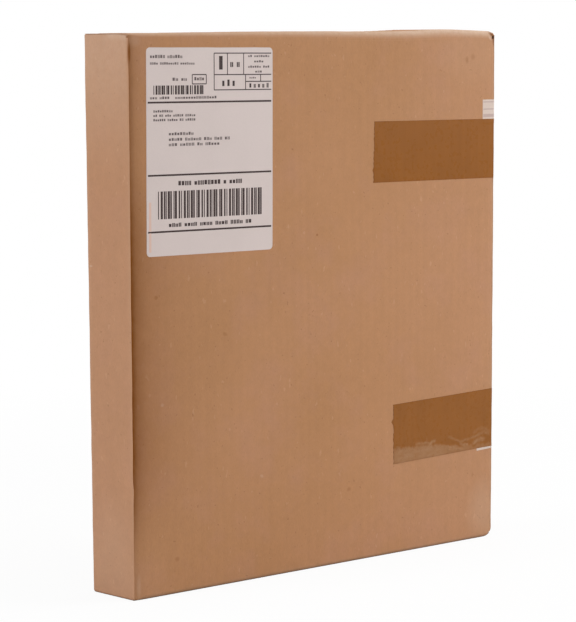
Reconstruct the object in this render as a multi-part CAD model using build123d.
from build123d import *
import os
from math import cos, radians, sin, sqrt

# A flat brown parcel: a sealed corrugated carton with tape, a shipping label and two small stickers.
# The carton is a five-panel folder. Its flutes stand upright on the front, the back and both narrow ends, and run
# from front to back on the top and the bottom. The left end is folded from the same sheet as the front and the
# back. A fifth panel, hinged on the back, closes over the right end and is held by the tape. An outer flap, hinged
# on the front, covers the top, and another one the bottom. The front panel faces -Y, and the parcel stands on its
# long narrow side at Z = 0.

# Carton, outside sizes
length = 378.0
depth = 50.0
height = 416.0

# Corrugated board
board = 3.0
liner = 0.35
medium = 0.3
flute_pitch = 7.85
flute_end_depth = 4.0
flute_crown = 1.0
channel_depth = 1.2

# Folds: the top flap's hinge across the flutes, which leaves at least a foot of the board straight, the bottom
# flap's hinge, on which the parcel stands, and the tighter folds of the panels under them
top_fold_radius = 3.0
fold_foot = 0.06
bottom_fold_radius = 1.2
fold_radius = 1.5
roll_length = 14.0
roll_drop = 1.0
crushed_corner_radius = 9.0

# Outer layers: how far their ends and free edges stand back, and the seam beside the closing panel
flap_end_setback = 0.6
free_edge_setback = 0.3
closing_gap = 0.6
seam_gap = 0.2
seam_fold_radius = 0.5
seam_depth = 6.0

# Brown film tape: each strip's middle at the taped end, how far it reaches over both panels, and its tilt
tape_width = 48.0
tape_thickness = 0.2
tape_tooth_pitch = 4.8
tape_tooth_depth = 0.5
upper_tape_drop = 95.15
upper_tape_front = 134.8
upper_tape_back = 126.0
upper_tape_tilt = -0.56
lower_tape_height = 99.2
lower_tape_front = 113.6
lower_tape_back = 98.0
lower_tape_tilt = 1.47

# Shipping label, placed from the carton's top left corner
label_width = 122.5
label_height = 152.4
label_corner = 3.2
label_thickness = 0.12
label_side_margin = 14.4
label_top_margin = 10.25
label_turn = 0.57

# Small stickers that wrap the taped end's front fold, one above the upper tape and one below the lower
sticker_thickness = 0.1
sticker_height = 19.0
sticker_side = 34.0
barcode_sticker_front = 13.1
barcode_sticker_lap = 3.2
seal_sticker_front = 18.1
seal_sticker_show = 1.7
seal_sticker_tilt = 2.4

# Ink of the print, and the widths of its lines
ink = 0.04
rule_thickness = 1.1
frame_line = 0.5
print_margin = 1.5
sticker_margin = 0.6

# Layout of the label's print, in percent of its width from the left and of its height from the foot
rule_rows = (11.7, 38.9, 73.8)
grid_rows = (79.5, 83.5, 86.9, 97.3)
grid_columns = (52.8, 63.4, 76.4, 77.9, 90.2)
small_frame = (35.6, 46.6, 82.5, 87.0)
main_barcode = (9.1, 90.9, 17.9, 31.1)
main_barcode_count = 42
small_barcode = (5.8, 44.2, 77.6, 81.8)
small_barcode_count = 24
margin_mark = (1.9, 3.7, 2.1, 26.1)
upright_word = (56.8, 59.5, 89.4, 95.9)

# Lines of text: left, right, middle row and letter height in percent, then the letters in each word
word_gap = 0.8
text_lines = (
    (2.9, 28.2, 95.7, 1.6, (6, 6)),
    (2.9, 37.6, 92.4, 1.2, (4, 9, 7)),
    (20.1, 31.7, 84.8, 1.6, (2, 2)),
    (37.1, 45.1, 85.0, 1.7, (4,)),
    (2.8, 18.1, 76.0, 1.3, (3, 4)),
    (22.2, 54.9, 76.0, 1.3, (16,)),
    (65.4, 73.5, 92.1, 3.0, (1, 1)),
    (79.8, 97.5, 95.9, 1.1, (2, 7)),
    (84.7, 92.7, 93.3, 1.1, (4,)),
    (79.8, 97.5, 90.7, 1.1, (6, 3)),
    (85.6, 91.4, 88.3, 1.1, (3,)),
    (59.0, 69.5, 82.9, 3.4, (1, 1, 1)),
    (80.9, 86.6, 85.3, 0.8, (4,)),
    (80.9, 96.9, 81.5, 2.2, (1, 1, 1, 1, 1)),
    (5.4, 20.5, 69.6, 1.2, (9,)),
    (5.4, 38.2, 67.5, 1.2, (2, 2, 3, 5, 5)),
    (5.4, 38.2, 65.4, 1.2, (6, 5, 2, 5)),
    (17.2, 36.8, 58.7, 1.5, (9,)),
    (17.2, 65.4, 56.0, 1.5, (5, 6, 3, 3, 2)),
    (17.2, 57.2, 53.5, 1.5, (3, 5, 2, 5)),
    (24.5, 75.2, 34.8, 2.2, (4, 8, 1, 4)),
    (17.1, 82.9, 14.8, 1.9, (4, 4, 4, 4, 4, 2)),
)

# Bars of the barcode sticker: how far down its open part and how wide, in percent of that part
sticker_bar_rows = ((12, 6), (49, 6), (82, 16))

# Derived places
left = -length / 2
right = length / 2
front = -depth / 2
back = depth / 2
inner_right = right - board - seam_gap
closing_low = board + closing_gap
closing_high = height - closing_low
upper_tape_height = height - upper_tape_drop
barcode_sticker_bottom = upper_tape_height + tape_width / 2 - barcode_sticker_lap
seal_sticker_bottom = lower_tape_height - tape_width / 2 - seal_sticker_show
past = 1.0


def box_between(x, y, z):
    """A block from the three pairs of limits."""
    size = (x[1] - x[0], y[1] - y[0], z[1] - z[0])
    middle = (sum(x) / 2, sum(y) / 2, sum(z) / 2)
    return Pos(*middle) * Box(*size)


def near(shape, x, y):
    """The vertex of a flat section that lies nearest to a point."""
    return min(shape.vertices(), key=lambda v: (v.X - x) ** 2 + (v.Y - y) ** 2)


def along(edges, axis, first, second):
    """The edges along one axis whose other two middle coordinates are given, in X, Y, Z order."""
    chosen = []
    for edge in edges.filter_by(axis):
        middle = edge.center()
        values = {Axis.X: (middle.Y, middle.Z), Axis.Y: (middle.X, middle.Z), Axis.Z: (middle.X, middle.Y)}[axis]
        if abs(values[0] - first) < 0.01 and abs(values[1] - second) < 0.01:
            chosen.append(edge)
    return chosen


def core():
    """The folded panels under the outer layers, with what they hold."""
    block = box_between((left, inner_right), (front, back), (board, height - board))
    block = fillet(along(block.edges(), Axis.Z, inner_right, front), seam_fold_radius)
    folds = along(block.edges(), Axis.Z, left, back)
    for z in (board, height - board):
        folds += along(block.edges(), Axis.Y, left, z)
        folds += along(block.edges(), Axis.X, back, z)
    return fillet(folds, fold_radius)


def flute_ends(start, stop, inner):
    """The hollows of open flutes along a cut edge, drawn flat: along the edge, and up from the inner face.

    The medium climbs from liner to liner at about 40 degrees.
    """
    low = inner + liner
    high = inner + board - liner
    crown = flute_crown / 2
    base = flute_pitch / 2 - crown - sqrt(2) * medium
    hollows = []
    place = start + flute_pitch / 2
    opens_low = True
    while place < stop - flute_pitch / 2:
        wide, narrow = (low, high - medium) if opens_low else (high, low + medium)
        hollow = [(place - base, wide), (place - crown, narrow), (place + crown, narrow), (place + base, wide)]
        hollows.append(Polygon(*hollow, align=None))
        place += flute_pitch / 2
        opens_low = not opens_low
    return hollows


def end_flap(hinge_radius):
    """The outer flap over the top: hinged on the front, with open flutes along its free edge at the back."""
    start = left + flap_end_setback
    stop = right - flap_end_setback
    inner = height - board
    free_edge = back - free_edge_setback
    flap = box_between((start, stop), (front, free_edge), (inner, height))
    flap = fillet(along(flap.edges(), Axis.X, front, height), hinge_radius)

    y = (front + board, back + past)
    z = (inner + liner, height - liner)
    channels = box_between((start - past, start + channel_depth), y, z)
    channels += box_between((stop - channel_depth, stop + past), y, z)

    edge = Plane.XZ.offset(-free_edge - past)
    hollows = flute_ends(start + channel_depth, stop - channel_depth, inner)
    return flap - channels - [extrude(edge * hollow, flute_end_depth + past) for hollow in hollows]


def closing_panel():
    """The fifth panel over the right end: hinged on the back, with open flutes along its top."""
    start = front + free_edge_setback
    inner = right - board
    z = (closing_low, closing_high)
    panel = box_between((inner, right), (start, back), z)
    panel = fillet(along(panel.edges(), Axis.Z, right, back), fold_radius)
    seam = box_between((inner_right - seam_gap, inner + seam_gap), (front + seam_depth, back), z)
    channel = box_between((inner + liner, right - liner), (start - past, start + channel_depth), z)

    top = Plane(origin=(0, 0, closing_high + past), x_dir=(0, 1, 0), z_dir=(0, 0, -1))
    hollows = flute_ends(start + channel_depth, back - fold_radius, inner)
    return panel + seam - channel - [extrude(top * hollow, flute_end_depth + past) for hollow in hollows]


def rolled_fold_cutter():
    """What lies outside the front's left fold, towards which the front panel rolls in."""
    start = (left + roll_length, front)
    rolled = (left, front + roll_drop)
    with BuildSketch() as section:
        with BuildLine():
            TangentArc(start, rolled, tangent=(-1, 0))
            Polyline(
                rolled,
                (left, front + roll_length),
                (left - past, front + roll_length),
                (left - past, front - past),
                (left + roll_length, front - past),
                start,
            )
        make_face()
        fillet(near(section.sketch, *rolled), fold_radius)
    return Pos(0, 0, -past) * extrude(section.sketch, height + 2 * past)


def crushed_corner_cutter():
    """What lies outside the blunted lower corner of the taped end, on which the parcel was dropped."""
    radius = crushed_corner_radius
    corner = box_between((right - radius, right + past), (front - past, back + past), (-past, radius))
    return corner - Pos(right - radius, 0, radius) * Rot(90, 0, 0) * Cylinder(radius, depth + 4 * past)


def carton():
    """The sealed carton, one solid with what it holds."""
    top = end_flap(min(top_fold_radius, board - fold_foot))
    bottom = mirror(end_flap(bottom_fold_radius), about=Plane.XY.offset(height / 2))
    return core() + top + bottom + closing_panel() - rolled_fold_cutter() - crushed_corner_cutter()


def wrapped_section(offset):
    """The outline that film follows round the taped end, grown by an offset.

    At the front it turns sharply over the closing panel's free edge, and at the back it follows the fold.
    """
    section = Plane.XY * Rectangle(length, depth + 2 * offset, align=(Align.MIN, Align.CENTER))
    section = Pos(right + offset - length, 0) * section
    section = fillet(near(section, right + offset, front - offset), free_edge_setback + offset)
    return fillet(near(section, right + offset, back + offset), fold_radius + offset)


def film(inner, thickness, limits):
    """A film of one thickness that lies on the taped end, inside a solid that limits it."""
    ring = wrapped_section(inner + thickness) - wrapped_section(inner)
    return extrude(ring, height) & limits


def band(reach, middle, width, tilt, teeth=False):
    """A band seen from the front, whose end lies a reach from the taped end, with dispenser teeth if torn."""
    half = width / 2
    tip = [(-reach, half)]
    if teeth:
        count = round(width / tape_tooth_pitch)
        step = width / count
        for i in range(count):
            tip.append((-reach + tape_tooth_depth, half - (i + 0.5) * step))
            tip.append((-reach, half - (i + 1) * step))
    else:
        tip.append((-reach, -half))
    points = [(past, half)] + tip + [(past, -half)]
    outline = Pos(right, middle) * Rot(0, 0, tilt) * Polygon(*points, align=None)
    return extrude(Plane.XZ * outline, depth, both=True)


def tape(reach_front, reach_back, middle, tilt, paper):
    """A strip of tape from the front panel round the taped end to the back panel, over a paper sticker."""
    strip = film(0, tape_thickness, band(reach_front, middle, tape_width, tilt, teeth=True))
    beyond = box_between((left, right - reach_back), (0, back + past), (0, height))
    return strip - beyond - paper


def side_limit():
    """The part of space that a sticker may cover: the front and the near part of the taped end."""
    return box_between((left, right + past), (front - past, front + sticker_side), (0, height))


def sticker(reach, bottom, tilt):
    """A paper sticker from the front panel round the fold on to the taped end."""
    paper = band(reach, bottom + sticker_height / 2, sticker_height, tilt)
    return film(0, sticker_thickness, paper & side_limit())


def sticker_bars():
    """The printed bars of the barcode sticker, above the tape."""
    top = barcode_sticker_bottom + sticker_height
    percent = (sticker_height - barcode_sticker_lap) / 100
    reach = barcode_sticker_front - sticker_margin
    limit = side_limit()
    bars = []
    for down, width in sticker_bar_rows:
        bar = band(reach, top - down * percent, width * percent, 0)
        bars += film(sticker_thickness, ink, bar & limit).solids()
    return Compound(children=bars)


def label_plane(offset=0.0):
    """A plane on the front panel at the label's lower left corner, with X along the label's lower edge."""
    turn = radians(label_turn)
    across = (cos(turn), 0, -sin(turn))
    corner_x = left + label_side_margin
    corner_z = height - label_top_margin - label_height
    return Plane(origin=(corner_x, front - offset, corner_z), x_dir=across, z_dir=(0, -1, 0))


def shipping_label():
    """The label, a thin sheet of paper with rounded corners."""
    outline = Pos(label_width / 2, label_height / 2) * RectangleRounded(label_width, label_height, label_corner)
    return extrude(label_plane() * outline, label_thickness)


def across_page(percent):
    """A place across the label, from percent of its width to millimetres."""
    return percent / 100 * label_width


def up_page(percent):
    """A place up the label, from percent of its height to millimetres."""
    return percent / 100 * label_height


def page_field(field):
    """A field of the layout, left, right, low and high, in millimetres."""
    return across_page(field[0]), across_page(field[1]), up_page(field[2]), up_page(field[3])


def printed(fields):
    """Ink on the label, one block for each field in millimetres."""
    page = label_plane(label_thickness)
    blocks = []
    for u0, u1, v0, v1 in fields:
        outline = Pos((u0 + u1) / 2, (v0 + v1) / 2) * Rectangle(u1 - u0, v1 - v0)
        blocks.append(extrude(page * outline, ink))
    return blocks


def joined(blocks):
    """Crossing blocks of ink made one, with no ink laid twice."""
    return blocks[0].fuse(*blocks[1:]).solids()


def level_line(u0, u1, v, width):
    """The field of a line across the label."""
    return u0, u1, v - width / 2, v + width / 2


def upright_line(u, v0, v1, width):
    """The field of a line up the label, with square ends that close its corners."""
    return u - width / 2, u + width / 2, v0 - width / 2, v1 + width / 2


def label_rules():
    """Three heavy rules across the label, the grid of fields at its top right, and a small frame."""
    end = label_width - print_margin
    heavy = [level_line(print_margin, end, up_page(row), rule_thickness) for row in rule_rows]

    low, step, middle, top = [up_page(row) for row in grid_rows]
    start, first, second, third, fourth = [across_page(column) for column in grid_columns]
    grid = [level_line(start, end, row, frame_line) for row in (low, middle, top)]
    grid.append(level_line(third, end, step, frame_line))
    grid.append(upright_line(start, low, top, frame_line))
    grid.append(upright_line(first, middle, top, frame_line))
    grid.append(upright_line(second, middle, top, frame_line))
    grid.append(upright_line(third, low, middle, frame_line))
    grid.append(upright_line(fourth, step, middle, frame_line))

    u0, u1, v0, v1 = page_field(small_frame)
    frame = [level_line(u0, u1, v, frame_line) for v in (v0, v1)]
    frame += [upright_line(u, v0, v1, frame_line) for u in (u0, u1)]
    return Compound(children=printed(heavy) + joined(printed(grid)) + joined(printed(frame)))


def bar_code(field, count):
    """Upright bars of one to four modules with gaps of one to three, in a made-up order."""
    u0, u1, v0, v1 = page_field(field)
    modules = []
    for i in range(2 * count - 1):
        widest = 4 if i % 2 == 0 else 3
        modules.append(1 + (5 * i * i + 3 * i + i // 3) % widest)
    module = (u1 - u0) / sum(modules)
    bars = []
    u = u0
    for i, width in enumerate(modules):
        if i % 2 == 0:
            bars.append((u, u + width * module, v0, v1))
        u += width * module
    return Compound(children=printed(bars))


def words(line):
    """A line of text as plain bars, one for each word."""
    u0, u1, row, size, letters = line
    total = sum(letters) + word_gap * (len(letters) - 1)
    letter = (u1 - u0) / total
    bars = []
    u = u0
    for count in letters:
        bars.append(page_field((u, u + count * letter, row - size / 2, row + size / 2)))
        u += (count + word_gap) * letter
    return bars


def label_text():
    """Every line of text and figures on the label, as plain bars without letters."""
    bars = [page_field(upright_word)]
    for line in text_lines:
        bars += words(line)
    return Compound(children=printed(bars))


def label_margin_mark():
    """The narrow orange mark up the label's lower left margin, on both sides of the lowest rule."""
    u0, u1, v0, v1 = page_field(margin_mark)
    rule = up_page(rule_rows[0])
    below = (u0, u1, v0, rule - rule_thickness / 2)
    above = (u0, u1, rule + rule_thickness / 2, v1)
    return Compound(children=printed([below, above]))


barcode_paper = sticker(barcode_sticker_front, barcode_sticker_bottom, 0)
seal_paper = sticker(seal_sticker_front, seal_sticker_bottom, seal_sticker_tilt)

parts = {
    "carton": carton(),
    "upper_tape": tape(upper_tape_front, upper_tape_back, upper_tape_height, upper_tape_tilt, barcode_paper),
    "lower_tape": tape(lower_tape_front, lower_tape_back, lower_tape_height, lower_tape_tilt, seal_paper),
    "shipping_label": shipping_label(),
    "barcode_sticker": barcode_paper,
    "seal_sticker": seal_paper,
    "sticker_bars": sticker_bars(),
    "label_rules": label_rules(),
    "label_main_barcode": bar_code(main_barcode, main_barcode_count),
    "label_small_barcode": bar_code(small_barcode, small_barcode_count),
    "label_text": label_text(),
    "label_margin_mark": label_margin_mark(),
}

os.makedirs("parts", exist_ok=True)
for name, solid in parts.items():
    export_step(solid, f"parts/{name}.step")
